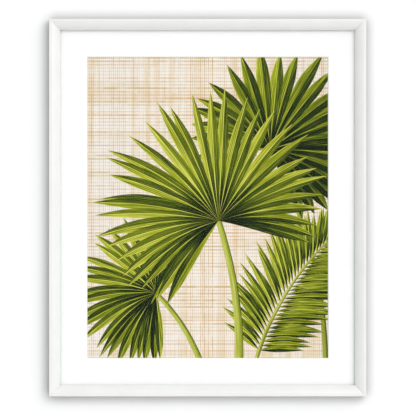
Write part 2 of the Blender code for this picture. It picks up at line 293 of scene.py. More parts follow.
def raw_wood(side, shift):
    """Planed softwood, where the back and the rebate of the moulding are bare."""
    made = Finish(f"raw_wood_{side}", roughness=0.68)
    bend = made.noise(made.coordinates((1.6, 46.0, 46.0), shift), 3.0, 3.0, 0.55)
    rings = made.math("SINE", made.times(bend, 46.0))
    fibre = made.noise(made.coordinates((18.0, 900.0, 900.0), shift), 1.0, 3.0, 0.6)
    shade = made.times(rings, 0.20, plus=made.times(fibre, 0.9))
    made.paint(shade, (0.12, 190, 152, 108), (0.42, 214, 182, 138), (0.80, 229, 204, 166))
    made.roughen(fibre, 0.3, 0.7, 0.60, 0.76)
    made.bump(fibre, 0.06 * MM)
    return made.material


def mat_paper():
    """The mat's smooth white face, with the fine tooth of its paper."""
    made = Finish("mat_face", roughness=0.92)
    tooth = made.noise(made.coordinates(), 1700.0, 3.0, 0.6)
    made.paint(made.noise(made.coordinates(), 60.0), (0.3, 245, 245, 244), (0.7, 247, 247, 246))
    made.roughen(tooth, 0.3, 0.7, 0.88, 0.96)
    made.bump(tooth, 0.020 * MM)
    made.set("Specular IOR Level", 0.25)
    return made.material


def mat_core():
    """The mat's core on its cut edges: bright plies of board with a soft fuzz."""
    made = Finish("mat_core", roughness=0.95)
    fuzz = made.noise(made.coordinates(), 2400.0, 2.0, 0.6)
    made.paint(made.noise(made.coordinates((6.0, 2600.0, 6.0))), (0.3, 243, 242, 238), (0.7, 252, 252, 250))
    made.roughen(fuzz, 0.3, 0.7, 0.92, 0.98)
    made.bump(fuzz, 0.04 * MM)
    return made.material


def clear_glass(layout):
    """Picture glass with a low gloss and a painted glow: its see-through colour is tinted greener near the
    side sight edges, where its rim would light up.
    """
    made = Finish("clear_glass")
    made.tree.nodes.remove(made.shader)
    x, _, z = made.split(made.coordinates())
    sight = layout.half_sight
    near_side = made.span(made.math("ABSOLUTE", x), sight - PAINTED_GLOW_WIDTH, sight - PAINTED_GLOW_FULL)
    height = made.math("ABSOLUTE", made.math("SUBTRACT", z, layout.centre.z))
    glow_half_height = layout.height / 2 - PAINTED_GLOW_END
    within = made.span(height, glow_half_height - PAINTED_GLOW_FADE, glow_half_height, 1.0, 0.0)
    # Painted glow: a faint green tint stands in for the glass rim lighting up beside the sight edges
    painted_glow_tint = made.mix(made.times(near_side, within), srgb(255, 255, 255), srgb(253, 255, 254))
    clear = made.node("ShaderNodeBsdfTransparent", "BSDF", {"Color": painted_glow_tint})
    gloss = made.node("ShaderNodeBsdfGlossy", "BSDF", {"Roughness": 0.02})
    slant = made.math("POWER", made.node("ShaderNodeLayerWeight", "Facing"), 5.0)
    made.show_mix(made.times(slant, 0.50, plus=0.004), clear, gloss)
    return made.material


def hardboard():
    """Pressed brown fibre: long pale and dark hairs in a mottled ground, with a waxed face."""
    made = Finish("hardboard", roughness=0.6)
    cloud = made.noise(made.coordinates(), 14.0, 4.0, 0.6)
    swirl = made.noise(made.coordinates((130.0, 130.0, 190.0)), 3.0, 4.0, 0.65)
    level = made.noise(made.coordinates((300.0, 900.0, 1900.0)), detail=1.0, distortion=2.5)
    upright = made.noise(made.coordinates((1900.0, 900.0, 300.0)), detail=1.0, distortion=2.5)
    fibre = made.math("MAXIMUM", level, upright)
    shade = made.times(swirl, 0.55, plus=made.times(cloud, 0.45))
    ground = made.tones(shade, (0.30, 112, 78, 50), (0.50, 138, 98, 64), (0.70, 160, 118, 80))
    hairs = made.times(made.span(fibre, 0.66, 0.76), 0.35)
    made.set("Base Color", made.mix(hairs, ground, srgb(186, 148, 106)))
    made.roughen(swirl, 0.3, 0.7, 0.50, 0.68)
    made.bump(made.times(fibre, 0.6, plus=swirl), 0.05 * MM)
    return made.material


def linen():
    """Gummed linen: a plain weave, with a shade of its own for each warp thread, and a painted shade that
    makes the gaps between the threads darker and their crowns lighter.
    """
    made = Finish("linen_tape", roughness=0.9)
    x, _, z = made.split(made.coordinates())
    counts = [made.math("DIVIDE", place, LINEN_PITCH) for place in (x, z)]
    warp, weft = [made.math("ABSOLUTE", made.math("SINE", made.times(count, math.pi))) for count in counts]
    weave = made.times(warp, weft)
    # Painted shade: the weave darkens the colour in the gaps between the threads and lightens it on their
    # crowns
    shade = made.math("ADD", made.random_of(made.math("FLOOR", counts[0])), weave)
    made.paint(shade, (0.0, 206, 200, 184), (1.0, 238, 234, 224))
    made.set("Sheen Weight", 0.2)
    made.bump(weave, 0.09 * MM)
    return made.material


def metal(name, dull, bright, roughness):
    """Stamped and plated metal with fine scratches, stains in its plating and worn brighter spots."""
    made = Finish(name, roughness=roughness, metallic=1.0)
    stain = made.noise(made.coordinates(), 260.0, 3.0, 0.6)
    lines = made.noise(made.coordinates((520.0, 520.0, 40.0)), 6.0, 3.0, 0.7)
    made.paint(stain, (0.30, *dull), (0.68, *bright))
    rough = made.times(lines, 0.20, plus=roughness - 0.10)
    made.set("Roughness", made.times(stain, 0.12, plus=rough))
    made.bump(made.times(stain, 0.7, plus=lines), 0.012 * MM)
    return made.material


def soft_rubber():
    """Clear soft plastic gone a little milky, with dust pressed into it."""
    made = Finish("bumper_rubber", roughness=0.45)
    haze = made.noise(made.coordinates(), 420.0, 3.0, 0.6)
    made.paint(haze, (0.3, 206, 207, 203), (0.75, 232, 233, 230))
    made.roughen(haze, 0.3, 0.7, 0.38, 0.55)
    made.set("Transmission Weight", 0.12)
    made.set("IOR", 1.48)
    made.bump(haze, 0.02 * MM)
    return made.material


def quarter_round(ease, steps):
    """Points that round an arris: how far each lies inside the one face, and inside the other."""
    points = []
    for k in range(steps + 1):
        angle = math.pi / 2 * k / steps
        points.append((ease * (1 - math.sin(angle)), ease * (1 - math.cos(angle))))
    return points


def arc(centre, radius, start, end, segments):
    """Points on a circle or, where radius is a pair, on an ellipse."""
    wide, high = radius if isinstance(radius, tuple) else (radius, radius)
    points = []
    for i in range(segments + 1):
        angle = start + (end - start) * i / segments
        points.append((centre[0] + wide * math.cos(angle), centre[1] + high * math.sin(angle)))
    return points


def eased_depths(back, front, ease):
    """(shrink, y) rows that round both arrises of a plate, from its back to its front."""
    rows = [(shrink, back + depth) for shrink, depth in quarter_round(ease, EASE_STEPS)]
    return rows + [(shrink, front + back - y) for shrink, y in reversed(rows)]


def join_loops(bm, near, far):
    """The faces between two closed loops of as many vertices."""
    corners = zip(near, near[1:] + near[:1], far[1:] + far[:1], far)
    return [bm.faces.new(corner) for corner in corners]


def loft(rings):
    """A bmesh of rings joined in order, with the first and the last filled."""
    bm = bmesh.new()
    loops = [[bm.verts.new(point) for point in ring] for ring in rings]
    bm.faces.new(loops[0])
    bm.faces.new(reversed(loops[-1]))
    for near, far in zip(loops, loops[1:]):
        join_loops(bm, near, far)
    return bm


def turned(profile, segments=40):
    """A bmesh turned about Y from (radius, y) points, flat at its first end and its last."""
    angles = [math.tau * i / segments for i in range(segments)]
    return loft([[(radius * math.cos(a), y, radius * math.sin(a)) for a in angles] for radius, y in profile])


def new_object(name, data):
    made = bpy.data.objects.new(name, data)
    bpy.context.scene.collection.objects.link(made)
    return made


def piece(bm, name, materials=(), place=None):
    """Make the bmesh a smooth object with sharp arrises, moved to its place."""
    bmesh.ops.recalc_face_normals(bm, faces=bm.faces)
    mesh = bpy.data.meshes.new(name)
    bm.to_mesh(mesh)
    bm.free()
    mesh.shade_smooth()
    mesh.set_sharp_from_angle(angle=SHARP_ANGLE)
    for material in materials:
        mesh.materials.append(material)
    made = new_object(name, mesh)
    if place:
        made.matrix_world = place
    return made


def round_bit(name, radius, y_from, y_to, place):
    return piece(turned([(radius, y_from), (radius, y_to)], 32), name, place=place)


def cut(item, cutters):
    """Take the cutters' shapes out of the item, then remove the cutters."""
    for cutter in cutters:
        difference = item.modifiers.new(cutter.name, "BOOLEAN")
        difference.operation = "DIFFERENCE"
        difference.solver = "EXACT"
        difference.object = cutter
    bpy.context.view_layer.update()
    graph = bpy.context.evaluated_depsgraph_get()
    mesh = bpy.data.meshes.new_from_object(item.evaluated_get(graph))
    item.modifiers.clear()
    item.data = mesh
    mesh.shade_smooth()
    mesh.set_sharp_from_angle(angle=SHARP_ANGLE)
    for cutter in cutters:
        bpy.data.objects.remove(cutter, do_unlink=True)


def stand_for(made, slot, *nodes, body="picture"):
    """The piece rides on the body, and the nodes that it stands for are hidden. The slot is not used."""
    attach(made, body)
    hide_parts(*nodes)


def middle(node):
    low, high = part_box(node)
    return (low + high) / 2


def on_wall(node):
    """The place on the wall's plane behind the node's middle."""
    centre = middle(node)
    return Matrix.Translation((centre.x, 0.0, centre.z))


class Layout:
    """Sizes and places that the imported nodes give."""

    def __init__(self):
        top_low, top_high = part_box("rail_top")
        _, right_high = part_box("rail_right")
        left_low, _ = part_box("rail_left")
        bottom_low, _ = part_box("rail_bottom")
        glass_low, glass_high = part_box("glazing")
        self.rail_width = top_high.z - top_low.z
        self.rail_depth = top_high.y - top_low.y
        self.back = top_high.y
        self.width = right_high.x - left_low.x
        self.height = top_high.z - bottom_low.z
        self.centre = Vector((0.0, 0.0, (top_high.z + bottom_low.z) / 2))
        self.rebate_wall = (self.width - (glass_high.x - glass_low.x)) / 2 - REBATE_PLAY
        self.rebate_depth = self.back - glass_low.y + GAP
        self.half_sight = self.width / 2 - self.rail_width
        self.sides = {
            "top": (self.width, 0.0),
            "right": (self.height, math.pi / 2),
            "bottom": (self.width, math.pi),
            "left": (self.height, -math.pi / 2),
        }

    def place(self, side, along=0.0, inset=0.0):
        """Where an item goes on a side's outer edge, at a distance along it and an inset from it."""
        length, turn = self.sides[side]
        outward = self.height / 2 if length == self.width else self.width / 2
        rotation = Matrix.Rotation(turn, 4, "Y")
        return Matrix.Translation(self.centre) @ rotation @ Matrix.Translation((along, 0.0, outward - inset))


def rail_section(layout):
    """The moulding as points (inward from the outer edge, forward from the back), painted ones first."""
    width, depth, sight_low = layout.rail_width, layout.rail_depth, layout.rebate_depth
    gentle, steep = FACE_SLOPES
    face_start = BAND_WIDTH + QUIRK_WIDTH
    radius = (width - face_start) / (math.sin(steep) - math.sin(gentle))
    face_centre = (face_start - radius * math.sin(gentle), depth - STEP_DEPTH - radius * math.cos(gentle))
    face = arc(face_centre, radius, math.pi / 2 - gentle, math.pi / 2 - steep, 30)
    quirk_centre = (BAND_WIDTH + QUIRK_WIDTH / 2, depth)
    painted = [
        (0.0, BACK_EASE),
        *arc((OUTER_ROUND, depth - OUTER_ROUND), OUTER_ROUND, math.pi, math.pi / 2, 8),
        *arc(quirk_centre, (QUIRK_WIDTH / 2, QUIRK_DEPTH), math.pi, QUIRK_END, 4),
        *face,
        (width, face[-1][1] - SIGHT_EASE),
        (width, sight_low + BACK_EASE / 2),
        (width - BACK_EASE / 2, sight_low),
    ]
    bare = [(layout.rebate_wall, sight_low), (layout.rebate_wall, 0.0), (BACK_EASE, 0.0)]
    return painted, bare


def inward_normals(points):
    """For each point of a closed outline that runs clockwise, the direction into it."""
    normals = []
    for i in range(len(points)):
        before = Vector(points[i]) - Vector(points[i - 1])
        after = Vector(points[(i + 1) % len(points)]) - Vector(points[i])
        along = before.normalized() + after.normalized()
        normals.append(Vector((along.y, -along.x)).normalized())
    return normals


def make_rails(layout):
    """Four mitred rails with their arrises eased at the mitres, slotted and drilled from behind."""
    painted, bare = rail_section(layout)
    section = painted + bare
    normals = inward_normals(section)
    rounding = quarter_round(MITRE_EASE, 5)
    for number, (side, (length, _)) in enumerate(layout.sides.items()):
        rings = []
        for end in (-1, 1):
            for depth, away in rounding if end < 0 else reversed(rounding):
                ring = []
                for (inward, forward), normal in zip(section, normals):
                    eased_in = inward + normal.x * depth
                    reach = length / 2 - eased_in - MITRE_GAP - away * math.sqrt(2)
                    ring.append((end * reach, layout.back - forward - normal.y * depth, -eased_in))
                rings.append(ring)
        bm = loft(rings)
        for index, face in enumerate(bm.faces):
            row = (index - 2) % len(section)
            if index < 2 or row < len(painted) or row == len(section) - 1:
                face.material_index = 1
        finishes = [raw_wood(side, number * GRAIN_SHIFT), painted_wood(side, number * GRAIN_SHIFT)]
        made = piece(bm, f"moulding_{side}", finishes, layout.place(side))
        cut(made, rail_cutters(layout, side))
        stand_for(made, "painted_wood", f"rail_{side}")


def rail_cutters(layout, side):
    """The slots for the V nails at both ends of a rail, and its holes for screws and nails."""
    cutters = []
    order = list(layout.sides)
    nail_low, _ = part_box("v_nail_top_left_outer")
    half, leg = V_NAIL_THICKNESS / 2 + GAP, V_NAIL_LEG + GAP
    outline = [(-half, half), (leg, half), (leg, -half), (half, -half), (half, -leg), (-half, -leg)]
    for corner_side in (side, order[(order.index(side) + 1) % 4]):
        length = layout.sides[corner_side][0]
        for inset in V_NAIL_INSETS:
            rings = [[(x, y, z) for x, z in outline] for y in (0.0, nail_low.y - GAP)]
            place = layout.place(corner_side, inset - length / 2, inset)
            cutters.append(piece(loft(rings), "slot", place=place))
    screws = [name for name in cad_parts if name.startswith(f"screw_{side}_")]
    holes = [(name, SCREW_SHANK_RADIUS + GAP) for name in screws]
    if side == "top":
        holes += [(name, NAIL_SHANK_RADIUS + GAP) for name in HANGER_NAILS]
    for name, radius in holes:
        low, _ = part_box(name)
        cutters.append(round_bit("hole", radius, 0.0, low.y - GAP, on_wall(name)))
    return cutters


def eased_slab(node, ease, name, materials):
    """A flat board in the node's place, with its twelve arrises eased."""
    low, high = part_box(node)
    half = (high - low) / 2
    rings = []
    for inset, y in eased_depths(-half.y, half.y, ease):
        radius = max(ease - inset, ease * LEAST_ROUND)
        ring = []
        for turn, (side_x, side_z) in enumerate(((1, 1), (-1, 1), (-1, -1), (1, -1))):
            corner = (side_x * (half.x - ease), side_z * (half.z - ease))
            begin = turn * math.pi / 2
            ring += [(x, y, z) for x, z in arc(corner, radius, begin, begin + math.pi / 2, EASE_STEPS)]
        rings.append(ring)
    return piece(loft(rings), name, materials, Matrix.Translation(middle(node)))


def make_mat():
    """The window mat: white face, bright core on the bevel, and edges only as sharp as a blade leaves."""
    low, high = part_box("mat_board")
    print_low, print_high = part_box("art_print")
    thickness = high.y - low.y
    board = (high - low) / 2
    window = (print_high - print_low) / 2 - Vector((PRINT_MARGIN, 0.0, PRINT_MARGIN))
    slope = CUT_EDGE_ROUND * math.sqrt(0.5)
    rows = (
        (board, 0.0, high.y, 0),
        (board, 0.0, low.y + CUT_EDGE_ROUND, 1),
        (board, -CUT_EDGE_ROUND, low.y, 0),
        (window, thickness + CUT_EDGE_ROUND, low.y, 0),
        (window, thickness, low.y + slope * BEVEL_FOOT, 1),
        (window, thickness - slope, low.y + slope, 1),
        (window, slope, high.y - slope, 1),
        (window, slope * BEVEL_LIP, high.y, 0),
    )
    bm = bmesh.new()
    loops = []
    for half, growth, y, _ in rows:
        loops.append([bm.verts.new((x * (half.x + growth), y, z * (half.z + growth))) for x, z in CORNERS])
    for near, far, (*_, core) in zip(loops, loops[1:] + loops[:1], rows):
        for face in join_loops(bm, near, far):
            face.material_index = core
    place = Matrix.Translation((0.0, 0.0, (low.z + high.z) / 2))
    made = piece(bm, "window_mat", [mat_paper(), mat_core()], place)
    stand_for(made, "mat_board", "mat_board")


def button_outline(shrink):
    """A round end about the pivot and a smaller round tip, joined by straight edges."""
    lean = math.asin((BUTTON_PIVOT_RADIUS - BUTTON_TIP_RADIUS) / BUTTON_REACH)
    pivot_end = arc((0.0, 0.0), BUTTON_PIVOT_RADIUS - shrink, -lean, math.pi + lean, 26)
    tip = arc((0.0, -BUTTON_REACH), BUTTON_TIP_RADIUS - shrink, math.pi + lean, math.tau - lean, 20)
    return pivot_end + tip


def make_button_mesh(back, front):
    """A stamped plate with rounded arrises and an eye for its screw."""
    bm = bmesh.new()
    outer, inner = [], []
    angles = [math.atan2(z, x) for x, z in button_outline(0.0)]
    for shrink, y in eased_depths(back, front, BUTTON_EDGE):
        outer.append([bm.verts.new((x, y, z)) for x, z in button_outline(shrink)])
        eye = SCREW_SHANK_RADIUS + GAP + shrink
        inner.append([bm.verts.new((eye * math.cos(a), y, eye * math.sin(a))) for a in angles])
    loops = outer + inner[::-1]
    for near, far in zip(loops, loops[1:] + loops[:1]):
        join_loops(bm, near, far)
    return bm


def head_profile(node, shank_radius, thread):
    """Section of a screw or nail from the crown of its domed head to its point, as (radius, y)."""
    low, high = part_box(node)
    head_radius = (high.x - low.x) / 2
    crown = head_radius / 2
    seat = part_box("turn_button_top_left")[1].y + GAP
    height = high.y - seat
    dome = (crown, height * (1 - DOME_FROM))
    profile = arc((crown, seat + height * DOME_FROM), dome, math.pi / 2, DOME_END, 6)
    profile += [(head_radius, seat + height * RIM_TO), (head_radius, seat + height * RIM_FROM)]
    profile += [(head_radius - height * RIM_FROM, seat), (shank_radius, seat)]
    tip_start = low.y + 2 * shank_radius
    if thread:
        root = shank_radius - SCREW_THREAD_DEPTH
        y = seat - SCREW_THREAD_PITCH
        while y > tip_start + SCREW_THREAD_PITCH:
            profile += [(root, y), (root, y - SCREW_THREAD_ROOT), (shank_radius, y - SCREW_THREAD_CREST)]
            y -= SCREW_THREAD_PITCH
    return profile + [(shank_radius * TIP_SHARES[0], tip_start), (shank_radius * TIP_SHARES[1], low.y)]


def make_buttons(layout):
    """Eight turn buttons, each on a cross-headed screw."""
    plate = metal("plated_steel", (186, 184, 176), (214, 213, 208), 0.30)
    steel = metal("screw_steel", (172, 172, 172), (205, 206, 208), 0.26)
    for name in sorted(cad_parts):
        if name.startswith("turn_button_"):
            spot = name.removeprefix("turn_button_")
            side = spot.split("_")[0]
            low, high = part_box(name)
            place = on_wall(f"screw_{spot}") @ Matrix.Rotation(layout.sides[side][1], 4, "Y")
            button = piece(make_button_mesh(low.y, high.y), f"turn_plate_{spot}", [plate], place)
            stand_for(button, "plated_steel", name, body=f"button_{spot}")
            make_screw(f"screw_{spot}", steel, place)


def make_screw(node, steel, place):
    """A screw with a domed head, a tapered cross recess and a turned thread."""
    profile = head_profile(node, SCREW_SHANK_RADIUS, thread=True)
    screw = piece(turned(profile), f"cross_{node}", [steel], place)
    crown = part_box(node)[1].y
    cutters = []
    for wide, tall in ((RECESS_SPAN, RECESS_WIDTH), (RECESS_WIDTH, RECESS_SPAN)):
        rings = []
        for y, share in ((crown + GAP, RECESS_FLARE), (crown - RECESS_DEPTH, RECESS_TAPER)):
            half_x = wide / 2 * (share if wide > tall else 1.0)
            half_z = tall / 2 * (share if tall > wide else 1.0)
            rings.append([(x * half_x, y, z * half_z) for x, z in CORNERS])
        cutters.append(piece(loft(rings), "recess", place=place))
    cut(screw, cutters)
    stand_for(screw, "screw_steel", node)


def hanger_columns(half, top):
    """Across the hanger: (x, lowest z, highest z, share of the raise) for each column of points."""
    right = [(0.0, 0.0, top, 1.0)]
    side_z = TOOTH_TIP_EASE - TOOTH_DEPTH
    tooth = ((-TOOTH_TIP_HALF, side_z), (0.0, -TOOTH_DEPTH), (TOOTH_TIP_HALF, side_z), (TOOTH_PITCH / 2, 0.0))
    for number in range(TOOTH_COUNT_EACH_SIDE):
        tip = (number + 0.5) * TOOTH_PITCH
        right += [(tip + away, z, top, 1.0) for away, z in tooth]
    del right[-2:]
    bend_steps = 8
    for k in range(bend_steps + 1):
        share = k / bend_steps
        x = HANGER_RAISED_HALF + (HANGER_FLAT_FROM - HANGER_RAISED_HALF) * share
        right.append((x, -TOOTH_DEPTH, top, 0.5 + 0.5 * math.cos(math.pi * share)))
    for x, turn in arc((half - HANGER_CORNER, 0.0), HANGER_CORNER, math.pi / 2, 0.0, 5):
        drop = HANGER_CORNER - turn
        right.append((x, -TOOTH_DEPTH + drop, top - drop, 0.0))
    left = [(-x, *column) for x, *column in right[:0:-1]]
    return left + right


def make_hanger():
    """The sawtooth hanger, its middle bowed off the rail, and the two nails through its ends."""
    _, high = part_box("hanger")
    brass = metal("brass_plate", (188, 160, 98), (222, 198, 136), 0.30)
    nail_steel = metal("nail_steel", (150, 150, 152), (190, 191, 194), 0.36)
    back = high.y - HANGER_RAISE - HANGER_THICKNESS
    rings = []
    for x, bottom, top, raised in hanger_columns(high.x, high.z):
        rear = back + raised * HANGER_RAISE
        front = rear + HANGER_THICKNESS
        rings.append([
            (x, rear, bottom),
            (x, front - HANGER_EDGE, bottom),
            (x, front, bottom + HANGER_EDGE),
            (x, front, top - HANGER_EDGE),
            (x, front - HANGER_EDGE, top),
            (x, rear, top),
        ])
    hanger = piece(loft(rings), "sawtooth_hanger", [brass])
    eye = NAIL_SHANK_RADIUS + GAP
    cut(hanger, [round_bit("eye", eye, back - GAP, high.y + GAP, on_wall(node)) for node in HANGER_NAILS])
    stand_for(hanger, "brassed_steel", "hanger")
    for node in HANGER_NAILS:
        profile = head_profile(node, NAIL_SHANK_RADIUS, thread=False)
        nail = piece(turned(profile), node.replace("hanger_nail", "pin"), [nail_steel], on_wall(node))
        stand_for(nail, "nail_steel", node)
    for name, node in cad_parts.items():
        if name.startswith("v_nail_"):
            refinish(node, nail_steel)


def refinish(node, material):
    """A CAD node that keeps its shape gets a better material."""
    node.data.materials.clear()
    node.data.materials.append(material)


def make_bumpers():
    """Two soft pads that keep the lower edge off the wall."""
    rubber = soft_rubber()
    for end in ("left", "right"):
        node = f"bumper_{end}"
        low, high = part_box(node)
        radius = (high.x - low.x) / 2
        rim = (radius - BUMPER_EDGE_ROUND, high.y - BUMPER_EDGE_ROUND)
        profile = [(radius - BUMPER_FOOT_EASE, low.y), (radius, low.y + BUMPER_FOOT_EASE)]
        profile += arc(rim, BUMPER_EDGE_ROUND, 0.0, math.pi / 2, 8)
        made = piece(turned(profile, 48), f"pad_{end}", [rubber], on_wall(node))
        stand_for(made, "bumper_rubber", node)


class Strip:
    """A leaflet or a stem of a printed palm: a strip along an arc, in millimetres and radians."""

    def __init__(self, start, heading, bend, length, half_width, kind, tone, widest):
        self.start = np.array(start, float)
        self.heading = heading
        self.facing = (math.cos(heading), math.sin(heading))
        self.length = length
        self.radius = length / (bend if abs(bend) > LEAST_BEND else LEAST_BEND)
        self.half_width = half_width
        self.kind = kind
        self.tone = tone
        self.widest = widest

    def width_at(self, along):
        """Half the width at that distance along the middle line; a leaflet ends in a point."""
        share = np.clip(np.asarray(along) / self.length, 0.0, 1.0)
        if self.kind == STEM:
            return self.half_width * (1.0 - self.widest * share)
        nearest = np.minimum(share / self.widest, (1.0 - share) / (1.0 - self.widest))
        return self.half_width * np.sin(nearest * math.pi / 2)

    def locate(self, points):
        """How far along the middle line each point lies, and how far to its left."""
        away = points - self.start
        cosine, sine = self.facing
        ahead = away[:, 0] * cosine + away[:, 1] * sine
        left = away[:, 1] * cosine - away[:, 0] * sine
        side = math.copysign(1.0, self.radius)
        turn = np.arctan2(side * ahead, side * (self.radius - left))
        return self.radius * turn, self.radius - side * np.hypot(ahead, self.radius - left)

    def point(self, along, aside=0.0):
        """The place at a distance along the middle line and a distance to its left."""
        turn = along / self.radius
        ahead = (self.radius - aside) * math.sin(turn)
        left = self.radius - (self.radius - aside) * math.cos(turn)
        cosine, sine = self.facing
        x = self.start[0] + ahead * cosine - left * sine
        return (x, self.start[1] + ahead * sine + left * cosine)

    def direction(self, along):
        return self.heading + along / self.radius

    def lines(self):
        """Its left edge, right edge and middle line."""
        stations = [self.length * k / STRIP_STEPS for k in range(STRIP_STEPS + 1)]
        widths = [float(self.width_at(s)) for s in stations]
        for side in (1, 0, -1):
            yield [self.point(s, side * width) for s, width in zip(stations, widths)]


def stem_between(start, end, bend, half_width, tone, taper):
    """A stem that turns by the bend on its way from one place to another."""
    across, up = end[0] - start[0], end[1] - start[1]
    chord = math.hypot(across, up)
    length = chord * (bend / 2) / math.sin(bend / 2)
    heading = math.atan2(up, across) - bend / 2
    return Strip(start, heading, bend, length, half_width, STEM, tone, taper)


def fan(rng, hub, direction, spread, count, length, tone, joined):
    """The leaflets of a fan leaf, each one lapping over the last and joined for a share of its length."""
    strips = []
    half = math.radians(spread)
    for k in range(count):
        place = 2 * k / (count - 1) - 1
        heading = math.radians(direction) + half * place + rng.uniform(-0.015, 0.015)
        reach = length * (1 - 0.26 * place ** 2) * rng.uniform(0.94, 1.05)
        bend = -DROOP * math.cos(heading) * rng.uniform(0.7, 1.2) + rng.uniform(-0.06, 0.06)
        width = joined * length * math.tan(half / (count - 1)) * rng.uniform(1.05, 1.20)
        lit = tone + 0.14 * math.cos(heading - LIT_FROM) + rng.uniform(-0.10, 0.10)
        widest = joined + rng.uniform(-0.04, 0.04)
        strips.append(Strip(hub, heading, bend, reach, width, LEAF, lit, widest))
    return strips


def frond(rng, rachis, pairs, length, tone):
    """A feather frond: leaflets in pairs down its rachis, the ones at the tip first."""
    strips = []
    for k in reversed(range(pairs)):
        share = 0.10 + 0.88 * k / (pairs - 1)
        along = rachis.length * share
        open_angle = math.radians(66 - 34 * share)
        reach = length * math.sin(math.pi * (0.16 + 0.76 * share)) ** 0.8
        for side in (1, -1):
            heading = rachis.direction(along) + side * open_angle + rng.uniform(-0.05, 0.05)
            bend = -DROOP * math.cos(heading) * rng.uniform(0.5, 1.2)
            lit = tone + 0.10 * side + rng.uniform(-0.08, 0.08)
            size = reach * rng.uniform(0.92, 1.06)
            leaflet = (heading, bend, size, FROND_HALF_WIDTH, LEAF, lit, FROND_WIDEST)
            strips.append(Strip(rachis.point(along), *leaflet))
    return strips + [rachis]


def palm_picture():
    """Every strip of the picture, from the furthest back to the nearest."""
    rng = random.Random(PRINT_SEED)
    far_hub = (104.0, 96.0)
    low_hub = (-86.0, -142.0)
    main_hub = (18.0, -22.0)
    rachis = stem_between((78.0, -262.0), (212.0, -44.0), -0.55, 3.4, 0.60, 0.6)
    strips = [stem_between((196.0, -262.0), far_hub, 0.5, 4.6, 0.42, 0.3)]
    strips += fan(rng, far_hub, 58, 112, 25, 178.0, 0.36, 0.66)
    strips += frond(rng, rachis, 30, 108.0, 0.48)
    strips.append(stem_between((-10.0, -262.0), low_hub, 0.45, 5.2, 0.60, 0.3))
    strips += fan(rng, low_hub, 176, 100, 25, 148.0, 0.48, 0.62)
    strips.append(stem_between((52.0, -262.0), main_hub, 0.35, 7.4, 0.66, 0.35))
    strips += fan(rng, main_hub, 114, 116, 35, 216.0, 0.54, 0.62)
    return strips


def clipped(first, second, half):
    """The part of a line between two places that lies on the sheet, or None."""
    low, high = 0.0, 1.0
    for start, end, most in zip(first, second, half):
        step = end - start
        if step:
            near, far = sorted(((-most - start) / step, (most - start) / step))
            low, high = max(low, near), min(high, far)
        elif abs(start) > most:
            return None
    if low >= high:
        return None
    ends = []
    for share in (low, high):
        ends.append(tuple(start + (end - start) * share for start, end in zip(first, second)))
    return ends


def topmost(strips, points):
    """For each point, the index of the nearest strip that covers it, or -1 for the bare ground."""
    found = np.full(len(points), -1)
    for index, strip in enumerate(strips):
        along, aside = strip.locate(points)
        inside = (along >= 0) & (along <= strip.length) & (np.abs(aside) <= strip.width_at(along))
        found[inside] = index
    return found


def sheet_mesh(strips, half):
    """The sheet's face split along every edge of the strips: its points and its triangles."""
    rng = random.Random(PRINT_SEED)
    points, edges = [], []

    def add_line(line):
        for first, second in zip(line, line[1:]):
            kept = clipped(first, second, half)
            if kept:
                points.extend(kept)
                edges.append((len(points) - 2, len(points) - 1))

    for strip in strips:
        for line in strip.lines():
            add_line(line)
    corners = [(x * half[0], z * half[1]) for x, z in CORNERS]
    for first, second in zip(corners, corners[1:] + corners[:1]):
        add_line([first, second])
    columns, rows = (2 * half / MESH_STEP).astype(int)
    cells = []
    for i in range(columns):
        for j in range(rows):
            cells.append((i + rng.uniform(*CELL_PLAY), j + rng.uniform(*CELL_PLAY)))
    grid = np.array(cells) * MESH_STEP - half
    covered = topmost(strips, grid) >= 0
    points.extend(map(tuple, grid[covered]))
    made = delaunay_2d_cdt([Vector(p) for p in points], edges, [], 0, TINY)
    flat = np.array([tuple(p) for p in made[0]])
    return flat, [face for face in made[2] if len(set(face)) == 3]


def make_print():
    """The printed sheet: one closed sheet whose face is split along the edges of its palm leaves."""
    low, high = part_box("art_print")
    half = np.array((high.x - low.x, high.z - low.z)) / 2 / MM
    strips = palm_picture()
    flat, triangles = sheet_mesh(strips, half)
    flat = np.clip(flat, -half, half)
    areas = []
    for a, b, c in triangles:
        ab, ac = flat[b] - flat[a], flat[c] - flat[a]
        areas.append(ab[0] * ac[1] - ab[1] * ac[0])
    triangles = [t if area > 0 else t[::-1] for t, area in zip(triangles, areas)]
    on_rim = np.any(np.abs(np.abs(flat) - half) < TINY, axis=1)
    rim = sorted(np.flatnonzero(on_rim), key=lambda index: math.atan2(flat[index][1], flat[index][0]))
    back_of = {index: len(flat) + k for k, index in enumerate(rim)}
    half_thick = (high.y - low.y) / 2
    vertices = [(x * MM, -half_thick, z * MM) for x, z in flat]
    vertices += [(flat[i][0] * MM, half_thick, flat[i][1] * MM) for i in rim]
    faces = [tuple(t) for t in triangles]
    for first, second in zip(rim, rim[1:] + rim[:1]):
        faces.append((second, first, back_of[first], back_of[second]))
    faces.append(tuple(back_of[i] for i in reversed(rim)))
    mesh = bpy.data.meshes.new("palm_print")
    mesh.from_pydata(vertices, [], faces)
    mesh.materials.append(palm_ink())
    mesh.materials.append(bare_paper())
    for polygon in mesh.polygons[len(triangles):]:
        polygon.material_index = 1
    paint_strips(mesh, strips, flat, triangles)
    lay_out(mesh, len(triangles), half)
    made = new_object("palm_print", mesh)
    made.location = middle("art_print")
    stand_for(made, "print_paper", "art_print")


